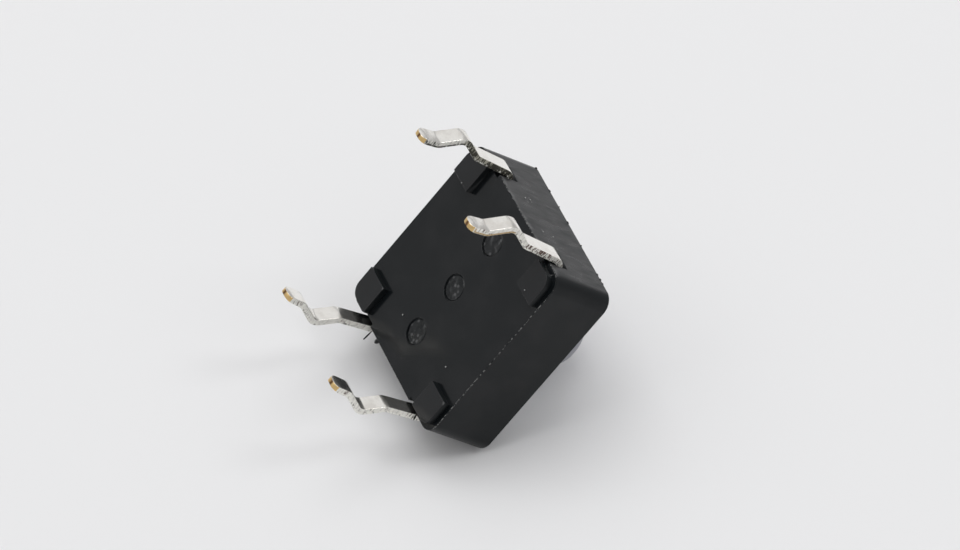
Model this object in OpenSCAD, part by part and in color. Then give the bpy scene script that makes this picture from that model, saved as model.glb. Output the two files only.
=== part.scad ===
// Tactile push button switch for through-hole mounting.
// Origin at the centre of the seating plane, +Z along the plunger, terminals pointing down.

/* [Base] */
// Width and depth of the moulded base
base_w = 12.4; // [12.2:0.1:14]
// Height of the base from its underside to its top face
base_h = 4.3; // [4.1:0.1:6]
// Radius of the four upright corners
base_corner_r = 0.9; // [0.4:0.1:1.4]
// Height of the corner pads that carry the base on the board
pad_h = 0.4; // [0.2:0.1:0.9]
// Width of each corner pad
pad_w = 1.95; // [1.5:0.05:2.2]
// Step from the side wall in to a corner pad
pad_inset = 0.3; // [0.1:0.05:0.6]
// Radius of a pad's outer corner; its other corners are sharp
pad_corner_r = 0.75; // [0.3:0.05:1]
// Radius of the round core-pin marks in the underside
mark_r = 0.85; // [0.5:0.05:1.1]
// Distance from one core-pin mark to the next
mark_pitch = 3.6; // [2.6:0.1:3.8]
// Depth of a core-pin mark
mark_depth = 0.06; // [0.02:0.01:0.15]

/* [Terminals] */
// Distance from the side wall out to the middle of a leg
leg_stand_off = 0.15; // [0.1:0.01:0.3]
// Distance between the two legs of a row
leg_pitch = 7.62; // [7.5:0.02:8]
// Width of the stamped strip
strip_w = 1.05; // [0.8:0.05:1.2]
// Thickness of the stamped strip
strip_t = 0.4; // [0.25:0.05:0.45]
// Height of the strip layer above the underside of the base
strip_level = 0.9; // [0.7:0.05:1.1]
// Length of a leg below the seating plane
leg_len = 5.9; // [5.4:0.1:6.5]
// Outward lean of a leg from its bend to the kink
leg_splay = 0.2; // [0.1:0.05:0.3]
// Depth below the seating plane at which the kink starts
kink_from = 1.65; // [1.4:0.05:1.9]
// Depth of the peak of the kink
kink_peak = 3.1; // [2.8:0.05:3.3]
// Depth at which the kink is back in line
kink_back = 4.6; // [4.2:0.05:4.8]
// How far the peak stands out
kink_out = 0.8; // [0.5:0.05:1]
// Middle radius of the bend at the wall
root_bend_r = 0.65; // [0.5:0.05:0.8]
// Middle radius of the bends of the kink
kink_bend_r = 0.7; // [0.5:0.05:0.9]
// Corner radius of the cut end of a leg
tip_corner_r = 0.4; // [0.2:0.05:0.5]
// Thickness of the cut end of a leg
tip_t = 0.3; // [0.15:0.01:0.35]
// Length of the tapered end of a leg
tip_taper = 0.5; // [0.3:0.05:0.8]

/* [Contacts and dome] */
// Middle radius of the ring that carries the dome
ring_r = 2.75; // [2.5:0.05:2.8]
// Width of the ring
ring_w = 0.7; // [0.5:0.05:0.7]
// Width of the slot that the tongue passes through
ring_slot = 2; // [1.6:0.1:2.4]
// Width of the tongue to the middle contact
tongue_w = 0.9; // [0.6:0.05:1]
// Radius of the middle contact pad
contact_r = 0.8; // [0.6:0.05:1]
// Radius of the raised middle contact
bump_r = 0.5; // [0.3:0.05:0.6]
// Height of the raised middle contact
bump_h = 0.18; // [0.1:0.01:0.2]
// Radius of the snap dome
dome_r = 2.95; // [2.8:0.01:3]
// Rise of the snap dome from rim to crown
dome_rise = 0.6; // [0.58:0.01:0.8]
// Thickness of the snap dome
dome_t = 0.08; // [0.05:0.01:0.1]

/* [Plunger] */
// Radius of the round stem
stem_r = 2.4; // [2:0.1:2.5]
// Height of the stem above the top face of the base
stem_out = 4.4; // [3:0.1:6]
// Step from the stem out to its guide collar
collar_step = 0.3; // [0.25:0.05:0.4]
// Height of the guide collar above the cover
collar_out = 0.4; // [0.35:0.05:1]
// Rounding of the stem's end
stem_round = 0.35; // [0.1:0.05:0.6]
// Width of the square flange that keeps the plunger in
flange_w = 6.2; // [5.6:0.1:6.6]
// Corner radius of the flange
flange_corner_r = 0.8; // [0.4:0.1:1.2]
// Thickness of the flange
flange_t = 1.2; // [0.8:0.1:1.3]
// Radius of the nub that presses the dome
nub_r = 1; // [0.7:0.05:1.3]
// Travel of the plunger
travel = 0.3; // [0.2:0.01:0.3]

/* [Cover] */
// Thickness of the cover plate
cover_t = 0.3; // [0.2:0.05:0.4]
// Step from the side wall in to the edge of the cover plate
cover_inset = 0.45; // [0.3:0.05:0.7]
// Corner radius of the cover plate
cover_corner_r = 0.8; // [0.4:0.1:1.2]
// Radius of a staking post
post_r = 0.7; // [0.5:0.05:0.9]
// Distance of a staking post from the side wall
post_inset = 1.6; // [1.5:0.05:1.7]
// Radius of a staked head
head_r = 1.05; // [1:0.05:1.1]
// Height of a staked head
head_h = 0.4; // [0.3:0.05:0.6]

/* [Clearances] */
// Gap between the moulding and a strip laid in it
insert_fit = 0.02; // [0.01:0.01:0.03]
// Gap all round a leg in its wall pocket
pocket_gap = 0.15; // [0.1:0.05:0.2]
// Depth of a wall pocket
pocket_depth = 0.25; // [0.2:0.05:0.3]
// Gap between the guide collar and its hole in the cover
guide_gap = 0.08; // [0.05:0.01:0.15]
// Gap between the flange and the walls of its chamber
chamber_gap = 0.1; // [0.05:0.01:0.2]
// Gap between faces that seat on each other
seat_gap = 0.02; // [0.01:0.01:0.03]
// Gap between a staking post and its hole
post_gap = 0.05; // [0.03:0.01:0.1]
// Gap between the dome and the wall of its pocket
dome_gap = 0.2; // [0.1:0.05:0.3]
// Spare travel under the flange
travel_spare = 0.1; // [0.05:0.01:0.2]

/* [Hidden] */
$fn = 64;

cut = 1;                                       // how far a cutting shape runs past a face
arc_steps = 6;                                 // flats in each bend of a leg
tip_margin = 0.1;                              // how far a tip's wedge runs on outside the strip
under_z = pad_h;
strip_z = under_z + strip_level;
floor_z = strip_z + strip_t;                   // floor of the dome pocket, level with the strips
top_z = under_z + base_h;
rim_z = floor_z + seat_gap;                    // rim of the dome
crown_z = rim_z + dome_rise;
flange_top_z = top_z - seat_gap;
flange_z = flange_top_z - flange_t;
shoulder_z = flange_z - travel - travel_spare; // floor of the flange chamber
nub_z = crown_z + seat_gap;
cover_top_z = top_z + cover_t;
collar_r = stem_r + collar_step;
collar_z = cover_top_z + collar_out;
stem_top_z = top_z + stem_out;
chamber_w = flange_w + 2 * chamber_gap;
pocket_x = base_w / 2 - pocket_depth;          // floor of a wall pocket
pad_at = base_w / 2 - pad_inset - pad_w / 2;   // middle of a corner pad
post_at = base_w / 2 - post_inset;
leg_x = base_w / 2 + leg_stand_off;
bend_x = leg_x - root_bend_r;                  // where the level strip turns down
PLASTIC = [0.17, 0.18, 0.19];
SILVER = [0.82, 0.81, 0.77];
STEEL = [0.74, 0.75, 0.77];
STEM_GREY = [0.72, 0.71, 0.74];

// Directions and points of a bent strip, in the plane across the switch
function unit(v) = v / norm(v);
function arc(a, b, c, r) = // the bend of radius r that rounds the corner b between a and c
    let (
        u = unit(a - b), v = unit(c - b), half = acos(u * v) / 2,
        centre = b + unit(u + v) * r / sin(half),
        from = b + u * r / tan(half) - centre, to = b + v * r / tan(half) - centre,
        start = atan2(from.y, from.x),
        sweep = (atan2(to.y, to.x) - start + 540) % 360 - 180
    )
    [for (k = [0:arc_steps]) let (t = start + sweep * k / arc_steps) centre + r * [cos(t), sin(t)]];
function rounded(corners, radii) = let (last = len(corners) - 1) [
    corners[0],
    for (k = [1:last - 1]) each arc(corners[k - 1], corners[k], corners[k + 1], radii[k - 1]),
    corners[last]
];
function side(path, d) = let (last = len(path) - 1) [
    for (k = [0:last])
        let (u = unit(path[min(k + 1, last)] - path[max(k - 1, 0)])) path[k] + d * [-u.y, u.x]
];
function backwards(list) = [for (k = [len(list) - 1:-1:0]) list[k]];

module rounded_square(w, r) {
    square([w, w - 2 * r], center = true);
    square([w - 2 * r, w], center = true);
    for (x = [-1, 1], y = [-1, 1]) translate([x, y] * (w / 2 - r)) circle(r);
}

module at_corners(d) {
    for (x = [-1, 1], y = [-1, 1]) translate([x * d, y * d]) children();
}

// The bent strip of one leg, at y = 0 on the +X side
module bent_strip(grow = 0) {
    middle_z = strip_z + strip_t / 2;
    corners = [
        [bend_x - root_bend_r, middle_z], [leg_x, middle_z], [leg_x + leg_splay, -kink_from],
        [leg_x + leg_splay + kink_out, -kink_peak], [leg_x + leg_splay / 2, -kink_back], [leg_x, -leg_len]
    ];
    path = rounded(corners, [root_bend_r, kink_bend_r, kink_bend_r, kink_bend_r]);
    half_t = strip_t / 2 + grow;
    rotate([90, 0, 0]) linear_extrude(strip_w + 2 * grow, center = true)
        polygon(concat(side(path, half_t), backwards(side(path, -half_t))));
}

module leg() {
    lean = atan2(leg_splay / 2, leg_len - kink_back);
    difference() {
        bent_strip();
        translate([leg_x, 0, -leg_len]) rotate([0, lean, 0]) for (s = [0, 1]) {
            mirror([0, s, 0]) tip_corner();
            mirror([s, 0, 0]) tip_wedge();
        }
    }
}

// What is cut away round one corner of a leg's end
module tip_corner() {
    rotate([90, 0, 90]) linear_extrude(2 * cut, center = true)
        translate([strip_w / 2 - tip_corner_r, tip_corner_r]) difference() {
            translate([0, -tip_corner_r - cut]) square(tip_corner_r + cut);
            circle(tip_corner_r);
        }
}

// The wedge taken off one face of a leg's end
module tip_wedge() {
    slant = (strip_t - tip_t) / 2 / tip_taper;
    top = tip_taper + tip_margin;
    rotate([90, 0, 0]) linear_extrude(strip_w + cut, center = true) polygon([
        [tip_t / 2 - cut * slant, -cut], [strip_t / 2 + cut, -cut],
        [strip_t / 2 + cut, top], [strip_t / 2 + tip_margin * slant, top]
    ]);
}

module on_both_sides(y) {
    for (s = [0, 1]) mirror([s, 0, 0]) translate([0, y]) children();
}

// Plan of the strip that joins two legs across the base
module cross_strip(y, grow = 0) {
    translate([0, y]) square([2 * bend_x, strip_w + 2 * grow], center = true);
}

module contact_plan(grow = 0) {
    cross_strip(-leg_pitch / 2, grow);
    translate([-tongue_w / 2 - grow, -leg_pitch / 2]) square([tongue_w + 2 * grow, leg_pitch / 2]);
    circle(contact_r + grow);
}

module ring_plan(grow = 0) {
    cross_strip(leg_pitch / 2, grow);
    translate([-tongue_w / 2 - grow, ring_r]) square([tongue_w + 2 * grow, leg_pitch / 2 - ring_r]);
    difference() {
        circle(ring_r + ring_w / 2 + grow);
        circle(ring_r - ring_w / 2 - grow);
        translate([-ring_slot / 2 + grow, -ring_r - cut]) square([ring_slot - 2 * grow, ring_r + cut]);
    }
}

module strip_layer(grow = 0) {
    translate([0, 0, strip_z - grow]) linear_extrude(strip_t + 2 * grow) children();
}

// Black insert-moulded base, open at the top
module base() color(PLASTIC) {
    difference() {
        union() {
            translate([0, 0, under_z]) linear_extrude(base_h) rounded_square(base_w, base_corner_r);
            linear_extrude(pad_h + cut) pads_plan();
        }
        translate([0, 0, floor_z]) cylinder(h = base_h, r = dome_r + dome_gap);
        translate([0, 0, shoulder_z]) linear_extrude(base_h)
            rounded_square(chamber_w, flange_corner_r + chamber_gap);
        for (y = [-1, 1]) on_both_sides(y * leg_pitch / 2) {
            wall_pocket();
            bent_strip(insert_fit);
        }
        strip_layer(insert_fit) contact_plan(insert_fit);
        strip_layer(insert_fit) ring_plan(insert_fit);
        for (k = [-1:1]) translate([k * mark_pitch, 0, under_z - cut])
            cylinder(h = cut + mark_depth, r = mark_r);
    }
    at_corners(post_at) staked_post();
}

// Square corner pads, rounded only at the corners of the base
module pads_plan() {
    intersection() {
        rounded_square(base_w - 2 * pad_inset, pad_corner_r);
        at_corners(pad_at) square(pad_w, center = true);
    }
}

// Pocket in the +X side wall at y = 0, open below, that a leg bends down in
module wall_pocket() {
    width = strip_w + 2 * pocket_gap;
    height = floor_z + pocket_gap - under_z;
    translate([pocket_x, -width / 2, under_z - cut]) cube([cut, width, height + cut]);
}

// Post through the cover, its end formed into a low round head
module staked_post() {
    ball_r = (head_r * head_r + head_h * head_h) / (2 * head_h);
    translate([0, 0, top_z - cut]) cylinder(h = cut + cover_t + head_h / 2, r = post_r);
    intersection() {
        translate([0, 0, cover_top_z + head_h - ball_r]) sphere(ball_r);
        translate([0, 0, cover_top_z]) cylinder(h = head_h + cut, r = 2 * head_r);
    }
}

// Stamped strip with the middle contact and two legs
module contact_frame() color(SILVER) {
    strip_layer() contact_plan();
    translate([0, 0, strip_z]) cylinder(h = strip_t + bump_h, r = bump_r);
    on_both_sides(-leg_pitch / 2) leg();
}

// Stamped strip with the ring that the dome stands on and two legs
module ring_frame() color(SILVER) {
    strip_layer() ring_plan();
    on_both_sides(leg_pitch / 2) leg();
}

// Thin domed spring disc
module snap_dome() color(STEEL) {
    ball_r = (dome_r * dome_r + dome_rise * dome_rise) / (2 * dome_rise);
    difference() {
        intersection() {
            translate([0, 0, crown_z - ball_r]) sphere(ball_r);
            translate([0, 0, rim_z]) cylinder(h = dome_rise + cut, r = dome_r + cut);
        }
        translate([0, 0, crown_z - ball_r]) sphere(ball_r - dome_t);
    }
}

// Plunger: nub, square flange, guide collar and round stem with a rounded end
module plunger() color(STEM_GREY) {
    translate([0, 0, nub_z]) cylinder(h = flange_z - nub_z + cut / 2, r = nub_r);
    translate([0, 0, flange_z]) linear_extrude(flange_t) rounded_square(flange_w, flange_corner_r);
    rotate_extrude() polygon([
        [0, flange_z], [collar_r, flange_z], [collar_r, collar_z], [stem_r, collar_z],
        for (k = [0:arc_steps]) let (t = 90 * k / arc_steps)
            [stem_r - stem_round * (1 - cos(t)), stem_top_z - stem_round * (1 - sin(t))],
        [0, stem_top_z]
    ]);
}

// Stamped plate staked over the base
module cover_plate() color(STEEL) {
    translate([0, 0, top_z]) linear_extrude(cover_t) difference() {
        rounded_square(base_w - 2 * cover_inset, cover_corner_r);
        circle(collar_r + guide_gap);
        at_corners(post_at) circle(post_r + post_gap);
    }
}

base();
contact_frame();
ring_frame();
snap_dome();
plunger();
cover_plate();
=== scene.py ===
# Finishes the push button switch: black moulding, plated legs, steel, button, studio.
import math

import bmesh
import bpy
from mathutils import Matrix, Vector, noise


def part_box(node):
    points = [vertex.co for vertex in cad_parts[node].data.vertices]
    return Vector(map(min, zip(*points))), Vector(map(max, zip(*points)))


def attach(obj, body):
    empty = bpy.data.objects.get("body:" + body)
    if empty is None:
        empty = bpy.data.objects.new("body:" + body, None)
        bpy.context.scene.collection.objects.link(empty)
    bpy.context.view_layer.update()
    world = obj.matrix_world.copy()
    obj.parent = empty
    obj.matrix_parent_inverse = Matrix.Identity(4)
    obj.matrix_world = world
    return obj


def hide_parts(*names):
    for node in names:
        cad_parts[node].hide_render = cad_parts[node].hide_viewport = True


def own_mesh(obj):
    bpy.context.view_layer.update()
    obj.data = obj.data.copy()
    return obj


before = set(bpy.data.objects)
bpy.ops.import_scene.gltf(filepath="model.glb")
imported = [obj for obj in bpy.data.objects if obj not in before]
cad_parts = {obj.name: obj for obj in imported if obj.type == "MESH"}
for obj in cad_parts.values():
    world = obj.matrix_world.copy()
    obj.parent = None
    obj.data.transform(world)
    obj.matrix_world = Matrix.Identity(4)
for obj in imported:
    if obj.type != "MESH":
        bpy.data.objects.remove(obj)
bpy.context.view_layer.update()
mm = 0.001
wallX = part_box("base")[1].x / mm            # half the width of the base, in millimetres
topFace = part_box("cover_plate")[0].z / mm    # height of the base's top face, where the cover plate lies
print("frame loaded:", sorted(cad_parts))


class Wire:  # an output socket; arithmetic on it adds Math nodes
    def __init__(self, finish, socket):
        self.finish = finish
        self.socket = socket

    def __add__(self, other):
        return self.finish.math("ADD", self, other)

    def __sub__(self, other):
        return self.finish.math("SUBTRACT", self, other)

    def __rsub__(self, other):
        return self.finish.math("SUBTRACT", other, self)

    def __mul__(self, other):
        return self.finish.math("MULTIPLY", self, other)

    def __abs__(self):
        return self.finish.math("ABSOLUTE", self)

    __radd__ = __add__
    __rmul__ = __mul__


def openSocket(sockets, key):
    live = [s for s in sockets if s.enabled]
    return live[key] if isinstance(key, int) else next(s for s in live if s.name == key)


class Finish:  # one procedural material
    def __init__(self, name):
        self.material = bpy.data.materials.new(name)
        self.material.use_nodes = True
        self.tree = self.material.node_tree
        self.shader = self.tree.nodes["Principled BSDF"]

    def plug(self, socket, value):
        if isinstance(value, Wire):
            self.tree.links.new(value.socket, socket)
        else:
            socket.default_value = value

    def node(self, kind, settings=None, inputs=None, output=0):
        made = self.tree.nodes.new(kind)
        for name, value in (settings or {}).items():
            setattr(made, name, value)
        for key, value in (inputs or {}).items():
            self.plug(openSocket(made.inputs, key), value)
        return Wire(self, openSocket(made.outputs, output))

    def math(self, operation, *values):
        return self.node("ShaderNodeMath", {"operation": operation}, dict(enumerate(values)))

    def surface(self, **values):  # sockets of the shader, Base_Color for Base Color
        for name, value in values.items():
            self.plug(self.shader.inputs[name.replace("_", " ")], value)

    def place(self, stretch=(1, 1, 1)):  # object coordinates in millimetres, stretched for a grain
        here = self.node("ShaderNodeTexCoord", output="Object")
        scale = tuple(s / mm for s in stretch)
        return self.node("ShaderNodeMapping", {"vector_type": "POINT"}, {"Vector": here, "Scale": scale})

    def axes(self, vector):
        split = self.node("ShaderNodeSeparateXYZ", inputs={"Vector": vector})
        return [Wire(self, s) for s in split.socket.node.outputs]

    def grain(self, vector, scale, detail=2.0, roughness=0.5):
        return self.node("ShaderNodeTexNoise", inputs={
            "Vector": vector, "Scale": scale, "Detail": detail, "Roughness": roughness})

    def specks(self, vector, scale):  # 1 at the middle of each speck, 0 between them
        away = self.node("ShaderNodeTexVoronoi", inputs={"Vector": vector, "Scale": scale}, output="Distance")
        return self.ramp(away, 0.34, 0.16)

    def ramp(self, value, low, high, start=0.0, end=1.0):  # low..high becomes start..end, held outside
        return self.node("ShaderNodeMapRange", {"interpolation_type": "SMOOTHSTEP"}, {
            "Value": value, "From Min": low, "From Max": high, "To Min": start, "To Max": end})

    def spot(self, vector, centre, radius):  # 1 around the centre, fading to 0 at the radius
        away = self.node("ShaderNodeVectorMath", {"operation": "DISTANCE"}, {0: vector, 1: centre}, "Value")
        return self.ramp(away, radius, radius * 0.3)

    def tint(self, share, first, second):
        return self.node("ShaderNodeMix", {"data_type": "RGBA"}, {
            "Factor": share, "A": self.colour(first), "B": self.colour(second)})

    def colour(self, value):
        return value if isinstance(value, Wire) else (*value, 1.0)

    def bump(self, height, depth, strength=1.0, under=None):
        inputs = {"Height": height, "Distance": depth * mm, "Strength": strength}
        if under is not None:
            inputs["Normal"] = under
        return self.node("ShaderNodeBump", inputs=inputs)


# Black moulding: a satin underside, walls clouded where they slid out of the mould, a ragged lower rim
moulding = {
    # worn is the pale tone of wear; it is also the colour of the painted highlights at the pad corners and in
    # the round marks
    "black": (0.0043, 0.0058, 0.0068), "rubbed": (0.018, 0.0185, 0.0195),
    "clouded": (0.026, 0.026, 0.027), "worn": (0.22, 0.22, 0.225),
    "wallShine": 0.22, "undersideShine": 0.37,
    "undersideGloss": 0.16, "wallGloss": 0.32, "padWallGloss": 0.22,
    "grainScale": 15, "grainDepth": 0.002, "cloudScale": 0.45,
    "dragStretch": (1, 2.2, 0.8), "dragScale": 0.8, "dragDepth": 0.02,
    "underside": 0.4, "rimWear": 0.4, "raggedStretch": (1, 1.3, 0.4), "raggedScale": 1.4,
    "scuffs": {(wallX, -1.6, 1.9): 0.6, (wallX, 1.5, 1.8): 0.7, (wallX, 2.7, 1.6): 0.9},
    # painted highlights: centres and radii of pale spots at two pad corners, standing in for glints
    "padCornerGlints": {(-3.95, -3.95, 0.0): 0.2, (-3.95, 5.9, 0.0): 0.25},
    "fleckScale": 4.5, "fleckPatchScale": 3.0,
    "markPitch": 3.6, "markR": 0.8, "markGloss": 0.3,
    "markLumpScale": 1.6, "markGlintScale": 2.6, "markRelief": 0.18,
}


def blackMoulding(name, shine):
    f = Finish(name)
    at = f.place()
    x, y, z = f.axes(at)
    low = moulding["underside"]
    skin = f.grain(at, moulding["grainScale"], 3.0, 0.6)
    cloud = f.grain(at, moulding["cloudScale"], 2.0)
    drag = f.grain(f.place(moulding["dragStretch"]), moulding["dragScale"], 5.0, 0.55)
    onWall = f.ramp(abs(x), wallX - 0.06, wallX - 0.01)
    tone = f.tint(f.ramp(cloud, 0.4, 0.7, 0.0, 0.3), moulding["black"], moulding["rubbed"])
    tone = f.tint(f.ramp(z, 0.03, 0.0, 0.0, 0.6), tone, moulding["rubbed"])
    # painted highlights: pale spots at two of the pads' corners stand in for glints on their edges
    cornerGlints = sum(f.spot(at, centre, radius) for centre, radius in moulding["padCornerGlints"].items())
    tone = f.tint(f.ramp(z, 0.05, 0.0) * cornerGlints * 0.3, tone, moulding["worn"])
    tone = f.tint(onWall * f.ramp(drag, 0.3, 0.7, 0.25, 0.85), tone, moulding["clouded"])
    ragged = f.grain(f.place(moulding["raggedStretch"]), moulding["raggedScale"], 3.0)
    wear = onWall * f.ramp(z - low + (ragged - 0.5), moulding["rimWear"], 0.0)
    tone = f.tint(wear * 0.35, tone, moulding["worn"])
    patches = f.grain(at, moulding["fleckPatchScale"], 2.0)
    flecks = f.specks(at, moulding["fleckScale"]) * f.ramp(patches, 0.42, 0.62)
    scuffed = sum(f.spot(at, centre, radius) for centre, radius in moulding["scuffs"].items())
    tone = f.tint(flecks * scuffed * 0.8, tone, moulding["worn"])
    markX = f.math("WRAP", x, moulding["markPitch"] / 2, -moulding["markPitch"] / 2)
    inMark = f.ramp(markX * markX + y * y, moulding["markR"] ** 2, 0.5) * f.ramp(z, low + 0.12, low + 0.1)
    lumps = f.grain(at, moulding["markLumpScale"], 1.0, 0.4)
    # painted highlights: bright specks inside the round marks stand in for glints on their relief
    tone = f.tint(f.specks(at, moulding["markGlintScale"]) * inMark * 0.3, tone, moulding["worn"])
    skinBump = f.bump(skin, moulding["grainDepth"])
    lumpBump = f.bump(lumps * inMark, moulding["markRelief"], under=skinBump)
    gloss = f.ramp(z, low + 0.02, low + 0.1, moulding["undersideGloss"], moulding["wallGloss"])
    padWall = f.ramp(z, 0.03, 0.05) * f.ramp(z, low - 0.02, low - 0.04)
    markDull = inMark * f.ramp(lumps, 0.46, 0.56) * moulding["markGloss"]
    gloss = gloss + padWall * moulding["padWallGloss"] + markDull
    f.surface(Base_Color=tone, Specular_IOR_Level=shine,
              Roughness=gloss + (skin - 0.5) * 0.16 - onWall * (drag - 0.5) * 0.4,
              Normal=f.bump(drag * onWall, moulding["dragDepth"], 0.5, lumpBump))
    return f.material


rim = {"fleckWearAndGlint": (0.2, 0.2, 0.195), "chipScale": 5.0, "chipDepth": 0.05, "straightTo": 5.5, "bendsBy": 5.75}


def rimWearAndGlints():  # the lower rim, broken into fine bright flecks along its straight parts: partly whitened wear, partly painted highlights standing in for glints on its burrs
    f = Finish("rimWearAndGlints")
    at = f.place()
    x, y = f.axes(at)[:2]
    chips = f.grain(at, rim["chipScale"], 4.0, 0.75)
    straight = f.ramp(f.math("MINIMUM", abs(x), abs(y)), rim["bendsBy"], rim["straightTo"])
    # pale flecks: whitened wear plus painted highlights for the burrs' glints
    f.surface(Base_Color=f.tint(f.ramp(chips, 0.5, 0.58) * straight, moulding["black"], rim["fleckWearAndGlint"]),
              Specular_IOR_Level=moulding["wallShine"],
              Roughness=0.36 + chips * 0.2,
              Normal=f.bump(chips, rim["chipDepth"]))
    return f.material


# Legs: bright plating on the rolled faces, torn streaks on the sheared ones, bare brass on the cut end
plating = {
    "silver": (0.95, 0.93, 0.885), "dull": (0.84, 0.81, 0.76), "roughness": 0.15,
    "cloudScale": 1.1, "rollingMarks": (1, 9, 1), "rollingDepth": 0.004,
    "burr": (0.96, 0.945, 0.88), "grey": (0.62, 0.60, 0.56), "burrMetal": 0.2,
    "streakStretch": (0.9, 1, 5.5), "streakDepth": 0.05,
    "torn": (0.10, 0.052, 0.038), "dark": (0.05, 0.047, 0.035), "olive": (0.36, 0.34, 0.24),
    "brass": (0.74, 0.53, 0.24), "bared": (0.45, 0.27, 0.06), "burnt": (0.15, 0.065, 0.025),
    "bandWidth": 0.18,
}


def platedFace():
    f = Finish("platedFace")
    at = f.place()
    cloud = f.grain(at, plating["cloudScale"], 3.0)
    rolled = f.grain(f.place(plating["rollingMarks"]), 1.5, 3.0)
    f.surface(Base_Color=f.tint(f.ramp(cloud, 0.4, 0.7), plating["silver"], plating["dull"]),
              Metallic=1.0,
              Roughness=plating["roughness"] + cloud * 0.12,
              Normal=f.bump(rolled, plating["rollingDepth"]))
    return f.material


def shearedEdge():  # the leg at +X, -Y tore dark above its kink; the one at +X, +Y only near its root
    f = Finish("shearedEdge")
    at = f.place()
    x, y, z = f.axes(at)
    streaks = f.grain(f.place(plating["streakStretch"]), 1.8, 4.0, 0.7)
    patch = f.grain(at, 1.3, 2.0)
    farX = f.ramp(x, -0.5, 0.5)
    darkLeg = farX * f.ramp(y, 0.5, -0.5)
    darkPart = darkLeg * f.ramp(z, -3.4, -2.9)
    brownPart = farX * f.ramp(y, -0.5, 0.5) * f.ramp(z, -2.0, -1.4) * f.ramp(z, 0.7, 0.2)
    torn = f.ramp(streaks + (patch - 0.5) * 0.35 + darkPart * 0.16 + brownPart * 0.11, 0.58, 0.66)
    plain = f.tint(f.ramp(streaks, 0.42, 0.6, 0.0, 0.6), plating["burr"], plating["grey"])
    plain = f.tint(darkPart * 0.7, plain, plating["olive"])
    f.surface(Base_Color=f.tint(torn, plain, f.tint(darkLeg, plating["torn"], plating["dark"])),
              Metallic=plating["burrMetal"],
              Roughness=f.ramp(torn, 0.0, 1.0, 0.3, 0.6),
              Normal=f.bump(streaks, plating["streakDepth"]))
    return f.material


def tornBurr():  # the arris the punch left: dark dashes at +X, -Y, a brass line below the kink at +X, +Y
    f = Finish("tornBurr")
    x, y, z = f.axes(f.place())
    farX = f.ramp(x, -0.5, 0.5)
    dashes = f.grain(f.place((1, 1, 2.5)), 3.2, 3.0, 0.7) + farX * f.ramp(y, 0.5, -0.5, 0.04, 0.14)
    worn = farX * f.ramp(y, -0.5, 0.5) * f.ramp(z, -2.8, -3.2)
    torn = f.tint(f.ramp(dashes, 0.54, 0.62), plating["burr"], plating["dark"])
    f.surface(Base_Color=f.tint(worn * 0.8, torn, plating["bared"]),
              Metallic=plating["burrMetal"],
              Roughness=0.45)
    return f.material


def cutEnd():
    f = Finish("cutEnd")
    at = f.place()
    y = f.axes(at)[1]
    wobble = f.grain(at, 1.2, 3.0)
    middle = abs(abs(y) - legs["rowY"] + (wobble - 0.5) * 0.5)
    band = f.ramp(middle, plating["bandWidth"], 0.02)
    f.surface(Base_Color=f.tint(band, plating["brass"], plating["burnt"]),
              Metallic=0.85,
              Roughness=0.4 + wobble * 0.15,
              Normal=f.bump(f.grain(f.place((8, 1, 1)), 2.0), 0.02))
    return f.material


spring = {"bright": (0.68, 0.69, 0.70), "dull": (0.60, 0.61, 0.62), "rollingMarks": (1, 12, 1)}


def springSteel():
    f = Finish("springSteel")
    cloud = f.grain(f.place(spring["rollingMarks"]), 3.0, 3.0)
    f.surface(Base_Color=f.tint(cloud, spring["bright"], spring["dull"]),
              Metallic=1.0,
              Roughness=0.28 + cloud * 0.15)
    return f.material


sheet = {
    "bright": (0.64, 0.65, 0.66), "dull": (0.54, 0.55, 0.56),
    "rollingMarks": (0.5, 14, 1), "rollingDepth": 0.004, "cloudScale": 0.6, "chamfer": 0.04,
}


def rolledSheet():
    f = Finish("rolledSheet")
    lines = f.grain(f.place(sheet["rollingMarks"]), 1.6, 4.0, 0.6)
    cloud = f.grain(f.place(), sheet["cloudScale"], 2.0)
    f.surface(Base_Color=f.tint(lines, sheet["bright"], sheet["dull"]),
              Metallic=1.0,
              Roughness=0.3 + cloud * 0.18,
              Normal=f.bump(lines, sheet["rollingDepth"]))
    return f.material


stem = {
    "dark": (0.33, 0.33, 0.37), "light": (0.38, 0.38, 0.41),
    "cloudScale": 0.8, "grainScale": 14.0, "grainDepth": 0.003, "chamfer": 0.05,
}


def greyStem():
    f = Finish("greyStem")
    at = f.place()
    cloud = f.grain(at, stem["cloudScale"], 3.0)
    skin = f.grain(at, stem["grainScale"], 3.0)
    f.surface(Base_Color=f.tint(cloud, stem["dark"], stem["light"]),
              Roughness=0.4 + skin * 0.15,
              Normal=f.bump(skin, stem["grainDepth"]))
    return f.material


def rubbedFlash():
    f = Finish("rubbedFlash")
    f.surface(Base_Color=f.tint(f.grain(f.place(), 6.0), moulding["black"], moulding["rubbed"]),
              Specular_IOR_Level=moulding["wallShine"],
              Roughness=0.4)
    return f.material


def paleDust():
    f = Finish("paleDust")
    f.surface(Base_Color=f.tint(f.grain(f.place(), 4.0), (0.25, 0.25, 0.25), (0.5, 0.5, 0.49)),
              Roughness=0.8)
    return f.material


def startFrom(nodeName):  # a CAD node's faces, merged and with its flats whole
    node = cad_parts[nodeName]
    bm = bmesh.new()
    bm.from_mesh(node.data)
    bmesh.ops.transform(bm, matrix=node.matrix_world, verts=bm.verts)
    bmesh.ops.remove_doubles(bm, verts=bm.verts, dist=0.0005 * mm)
    bmesh.ops.dissolve_limit(bm, angle_limit=math.radians(1), verts=bm.verts, edges=bm.edges)
    return bm


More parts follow.
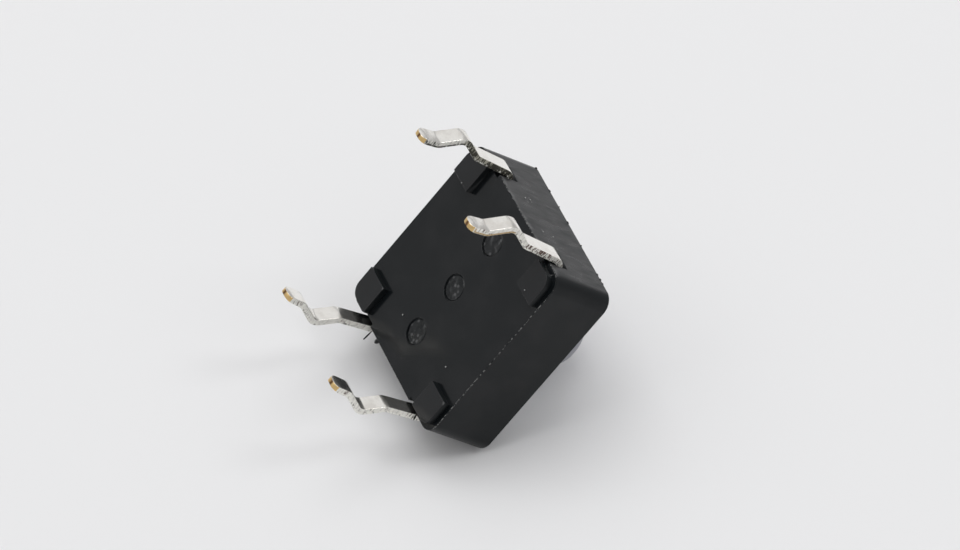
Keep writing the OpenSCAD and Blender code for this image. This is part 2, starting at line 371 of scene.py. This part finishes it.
def sharpEdges(bm, wanted, least=50):  # convex edges of at least that many degrees, where wanted(midpoint)
    found = []
    for edge in bm.edges:
        middle = (edge.verts[0].co + edge.verts[1].co) / 2 / mm
        if edge.is_manifold and edge.calc_face_angle_signed() > math.radians(least) and wanted(middle):
            found.append(edge)
    return found


def soften(bm, edges, width, segments=2):
    return bmesh.ops.bevel(bm, geom=edges, offset=width * mm, offset_type="OFFSET", affect="EDGES",
                           segments=segments, profile=0.5, material=-1, clamp_overlap=True)["faces"]


def makePiece(bm, name, body, finishes, standsFor=()):
    for face in bm.faces:  # the flats stay flat, chamfers and round walls are smooth
        face.smooth = max(abs(c) for c in face.normal) < 0.9999
    mesh = bpy.data.meshes.new(name)
    bm.to_mesh(mesh)
    bm.free()
    for finish in finishes:
        mesh.materials.append(finish)
    mesh.set_sharp_from_angle(angle=math.radians(35))
    piece = bpy.data.objects.new(name, mesh)
    bpy.context.scene.collection.objects.link(piece)
    piece.modifiers.new("evenNormals", "WEIGHTED_NORMAL").keep_sharp = True
    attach(piece, body)
    for node in standsFor:
        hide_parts(node)
    print("made", name, len(mesh.polygons), "faces")
    return piece


base = {
    "cornerR": 0.9, "chamfer": 0.045, "padChamfer": 0.025, "padTop": 0.39, "rimTop": 0.55,
    "marksReachX": 5, "marksReachY": 1,
}


def rimGap(point):  # distance of a point outside the base's outline, in millimetres
    flat = wallX - base["cornerR"]
    return math.hypot(max(abs(point.x) - flat, 0), max(abs(point.y) - flat, 0)) - base["cornerR"]


def nearMarks(point):  # on the round marks in the underside
    inside = abs(point.y) < base["marksReachY"] and abs(point.x) < base["marksReachX"]
    return inside and point.z < base["rimTop"]


def makeBase():
    bm = startFrom("base")
    # the lower rim's chamfers take the flecked rim finish: wear with painted highlights for burr glints
    for face in soften(bm, sharpEdges(bm, lambda p: rimGap(p) > -0.01), base["chamfer"]):
        face.material_index = int(face.calc_center_median().z / mm < base["rimTop"])
    marks = sharpEdges(bm, nearMarks)
    soften(bm, marks + sharpEdges(bm, lambda p: p.z < base["padTop"]), base["padChamfer"])
    for face in bm.faces:
        if face.normal.z < -0.9 and face.material_index == 0:
            face.material_index = 2
    finishes = [blackMoulding("blackWalls", moulding["wallShine"]), rimWearAndGlints(),
                blackMoulding("blackUnderside", moulding["undersideShine"])]
    makePiece(bm, "mouldedBase", "switch", finishes, ["base"])


legs = {"rowY": 3.81, "outside": 5.9, "chamfer": 0.05, "fracture": 0.1, "endTop": -5.45, "endFacing": -0.3}


def legFace(face):  # 0 rolled, 1 sheared, 2 cut end
    if max(abs(v.co.x) for v in face.verts) / mm < legs["outside"]:
        return 0
    if face.calc_center_median().z / mm < legs["endTop"] and face.normal.z < legs["endFacing"]:
        return 2
    return 1 if abs(face.normal.y) > 0.8 else 0


def makeTerminals(nodeName, name):
    bm = startFrom(nodeName)
    for face in bm.faces:
        face.material_index = legFace(face)
    soften(bm, sharpEdges(bm, lambda p: abs(p.x) > legs["outside"]), legs["chamfer"])
    sides = [face for face in bm.faces if face.material_index == 1 and abs(face.normal.y) > 0.99]
    border = bmesh.ops.inset_region(bm, faces=sides, thickness=legs["fracture"] * mm, use_even_offset=True)
    for face in border["faces"]:  # the punch tore the arris that looks toward -X
        if any(n.normal.x < -0.1 and abs(n.normal.y) < 0.99 for e in face.edges for n in e.link_faces):
            face.material_index = 3
    finishes = [platedFace(), shearedEdge(), cutEnd(), tornBurr()]
    makePiece(bm, name, "switch", finishes, [nodeName])


def makeDome():
    bm = startFrom("snap_dome")
    piece = makePiece(bm, "springDome", "switch", [springSteel()], ["snap_dome"])
    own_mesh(piece)


def makeCover():
    bm = startFrom("cover_plate")
    soften(bm, sharpEdges(bm, lambda p: True), sheet["chamfer"])
    makePiece(bm, "stakedCover", "switch", [rolledSheet()], ["cover_plate"])


def makePlunger():
    bm = startFrom("plunger")
    soften(bm, sharpEdges(bm, lambda p: p.z > topFace), stem["chamfer"])
    makePiece(bm, "pressStem", "plunger", [greyStem()], ["plunger"])


# Bits of flash left on the moulding and dust that lies on it: place, size, turn about Z in degrees
flash = [
    ((-6.62, -2.9, 0.45), (1.0, 0.13, 0.08), 6), ((-6.33, -2.05, 0.5), (0.4, 0.3, 0.2), 20),
    ((-6.38, 4.4, 0.45), (0.45, 0.12, 0.08), -12),
    ((6.2, -5.5, 4.6), (0.12, 0.20, 0.16), 0), ((6.2, -3.5, 4.65), (0.10, 0.26, 0.12), 0),
    ((6.2, -2.1, 4.67), (0.10, 0.14, 0.10), 0), ((6.2, -0.71, 4.65), (0.12, 0.22, 0.14), 0),
    ((6.2, 3.8, 4.65), (0.08, 0.16, 0.12), 0), ((6.2, 4.25, 4.65), (0.12, 0.18, 0.14), 0),
    ((6.2, 4.6, 4.66), (0.10, 0.14, 0.12), 0), ((6.2, 1.3, 4.67), (0.10, 0.12, 0.10), 0),
]
dust = [
    ((-3.85, -1.71, 0.37), (0.10, 0.09, 0.08), 0), ((-2.96, 3.69, 0.37), (0.10, 0.08, 0.08), 0),
    ((4.2, 4.86, -0.03), (0.09, 0.08, 0.07), 0), ((4.0, -4.65, -0.03), (0.08, 0.08, 0.07), 0),
    ((6.22, -1.63, 1.66), (0.06, 0.10, 0.09), 0), ((6.22, -1.62, 2.06), (0.06, 0.09, 0.10), 0),
    ((6.22, 1.38, 1.53), (0.06, 0.08, 0.08), 0), ((6.22, 1.52, 2.27), (0.06, 0.08, 0.09), 0),
]


def makeCrumbs(name, crumbs, finish):
    bm = bmesh.new()
    for place, size, turn in crumbs:
        lump = bmesh.ops.create_icosphere(bm, subdivisions=2, radius=0.5 * mm)["verts"]
        for vert in lump:
            vert.co *= 0.9 + 0.5 * noise.noise(vert.co / mm * 2 + Vector(place))
        stand = Matrix.Translation(Vector(place) * mm) @ Matrix.Rotation(math.radians(turn), 4, "Z")
        bmesh.ops.transform(bm, verts=lump, matrix=stand @ Matrix.Diagonal((*size, 1)))
    makePiece(bm, name, "switch", [finish])


makeBase()
makeCrumbs("mouldFlash", flash, rubbedFlash())
makeCrumbs("dustSpecks", dust, paleDust())
makeTerminals("contact_frame", "contactTerminals")
makeTerminals("ring_frame", "ringTerminals")
makeDome()
makeCover()
makePlunger()
print("pieces ready")


# Studio: a pale sheet that the switch lies on, its cover's edge and the button's rim touching it
studio = {
    "lean": 132.24, "restEdge": (-wallX, 0.0, topFace),
    "floorSize": 0.5, "floorColour": (0.82, 0.82, 0.825),
    "worldColour": (1.0, 1.0, 1.01), "worldStrength": 0.45,
}
studioTurn = Matrix.Rotation(math.radians(studio["lean"]), 4, "Y")


def studioDirection(azimuth, elevation):  # azimuth 0 looks along the studio's +Y
    a, e = math.radians(azimuth), math.radians(elevation)
    return Vector((math.sin(a) * math.cos(e), -math.cos(a) * math.cos(e), math.sin(e)))


def facing(target, azimuth, elevation, distance, roll=0.0):  # something that looks at target from there
    away = studioDirection(azimuth, elevation)
    turn = studioTurn @ away.to_track_quat("Z", "Y").to_matrix().to_4x4()
    place = Vector(target) * mm + studioTurn.to_3x3() @ away * distance
    return Matrix.Translation(place) @ turn @ Matrix.Rotation(math.radians(roll), 4, "Z")


def makeFloor():
    bm = bmesh.new()
    bmesh.ops.create_grid(bm, x_segments=1, y_segments=1, size=studio["floorSize"])
    bmesh.ops.transform(bm, verts=bm.verts,
                        matrix=Matrix.Translation(Vector(studio["restEdge"]) * mm) @ studioTurn)
    mesh = bpy.data.meshes.new("floor")
    bm.to_mesh(mesh)
    bm.free()
    floor = bpy.data.objects.new("floor", mesh)
    bpy.context.scene.collection.objects.link(floor)
    f = Finish("palePaper")
    f.surface(Base_Color=(*studio["floorColour"], 1.0), Roughness=0.9)
    f.shader.inputs["Specular IOR Level"].default_value = 0.0
    clear = f.node("ShaderNodeBsdfTransparent")
    behind = f.node("ShaderNodeNewGeometry", output="Backfacing")
    oneSided = f.node("ShaderNodeMixShader", inputs={0: behind, 1: Wire(f, f.shader.outputs[0]), 2: clear})
    f.tree.links.new(oneSided.socket, f.tree.nodes["Material Output"].inputs["Surface"])
    mesh.materials.append(f.material)


lamps = {
    "right": {"azimuth": -119, "elevation": 50, "distance": 0.5, "size": 0.14, "power": 0.35},
    "left": {"azimuth": 70, "elevation": 60, "distance": 0.5, "size": 0.5, "power": 0.5},
    "top": {"azimuth": -10, "elevation": 78, "distance": 0.5, "size": 0.4, "power": 0.8},
    "sheet": {"azimuth": -20, "elevation": 42, "distance": 0.5, "size": 0.6, "power": 0.34},
}


def makeLamps():
    for name, lamp in lamps.items():
        data = bpy.data.lights.new(name, "AREA")
        data.energy = lamp["power"]
        data.size = lamp["size"]
        light = bpy.data.objects.new(name, data)
        bpy.context.scene.collection.objects.link(light)
        light.matrix_world = facing((0, 0, 0), lamp["azimuth"], lamp["elevation"], lamp["distance"])
    world = bpy.data.worlds.new("paleRoom")
    world.use_nodes = True
    sky = world.node_tree.nodes["Background"]
    sky.inputs["Color"].default_value = (*studio["worldColour"], 1.0)
    sky.inputs["Strength"].default_value = studio["worldStrength"]
    bpy.context.scene.world = world


eye = {
    "target": (2.117, 1.338, 0.0), "azimuth": 160.47, "elevation": 45.61, "roll": -2.40,
    "distance": 0.3409, "lens": 225,
}


def makeCamera():
    data = bpy.data.cameras.new("eye")
    data.lens = eye["lens"]
    camera = bpy.data.objects.new("eye", data)
    bpy.context.scene.collection.objects.link(camera)
    camera.matrix_world = facing(
        eye["target"], eye["azimuth"], eye["elevation"], eye["distance"], eye["roll"])
    bpy.context.scene.camera = camera


makeFloor()
makeLamps()
makeCamera()
bpy.context.scene.view_settings.view_transform = "Standard"
print("studio ready")
